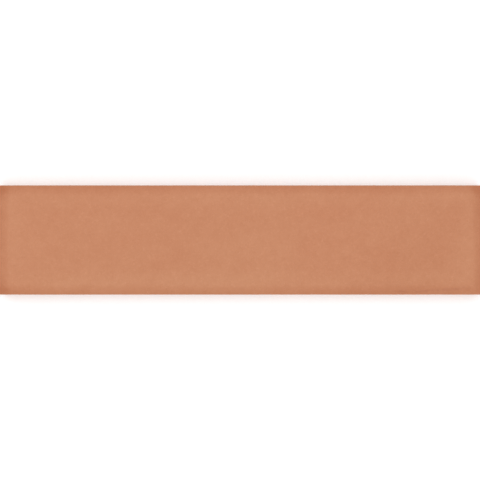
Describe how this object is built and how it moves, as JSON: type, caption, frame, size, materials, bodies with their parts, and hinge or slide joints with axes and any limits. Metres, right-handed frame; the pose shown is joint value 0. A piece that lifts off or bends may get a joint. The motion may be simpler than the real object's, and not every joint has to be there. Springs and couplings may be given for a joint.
{
  "type": "wall tile",
  "caption": "Slim rectangular glazed ceramic wall tile with a cushioned face, tapered sides and a ribbed bonding back.",
  "frame": {"origin": "centre of the back, on the plane of the back ribs", "axes": "+X along the tile's length, +Y across its width, +Z out of the glazed face"},
  "size_m": [0.3, 0.068, 0.0085],
  "materials": {
    "glaze": "satin"
  },
  "bodies": {
    "root": {"glazed_tile": "glaze"}
  },
  "joints": []
}
